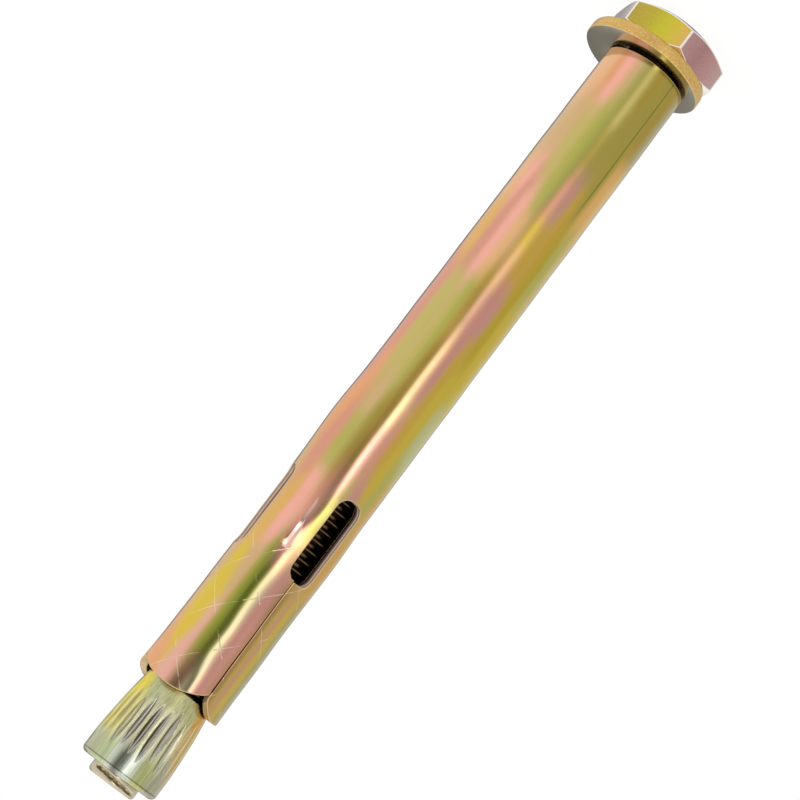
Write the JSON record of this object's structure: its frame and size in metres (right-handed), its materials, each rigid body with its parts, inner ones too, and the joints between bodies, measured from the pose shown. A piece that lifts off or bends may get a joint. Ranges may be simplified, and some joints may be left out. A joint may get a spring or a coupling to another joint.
{
  "type": "sleeve anchor bolt",
  "caption": "Sleeve anchor: a hex bolt with a loose washer draws a fluted cone nut into the slotted end of a rolled sleeve, which spreads to grip a drilled hole.",
  "frame": {"origin": "centre of the flat top of the hex head, on which the anchor stands", "axes": "+Z along the bolt from the head to the tip, -Y to the front, between the first window and the second"},
  "size_m": [0.0119, 0.0118, 0.0816],
  "materials": {
    "bolt_zinc": "satin, yellow chromate over zinc",
    "washer_zinc": "tumbled, yellow chromate over zinc",
    "sleeve_zinc": "glossy, iridescent yellow chromate over zinc",
    "cone_zinc": "satin, thin green-silver chromate over zinc"
  },
  "bodies": {
    "bolt": {"hex_bolt": "bolt_zinc"},
    "washer": {"washer": "washer_zinc"},
    "sleeve": {"sleeve": "sleeve_zinc"},
    "cone_nut": {"cone_nut": "cone_zinc"}
  },
  "joints": [
    {"name": "washer_spin", "type": "hinge", "parent": "bolt", "child": "washer", "pos_m": [0.0006, 0, 0.0036], "axis": [0, 0, 1], "continuous": true},
    {"name": "thread_turn", "type": "hinge", "parent": "bolt", "child": "sleeve", "pos_m": [0, 0, 0.039], "axis": [0, 0, 1], "range_deg": [-216, 1800]},
    {"name": "cone_draw", "type": "slide", "parent": "sleeve", "child": "cone_nut", "axis": [0, 0, 1], "range_m": [-0.0006, 0.005]}
  ],
  "couplings": [
    {"joint": "cone_draw", "follows": "thread_turn", "m_per_rad": 0.00015915}
  ]
}
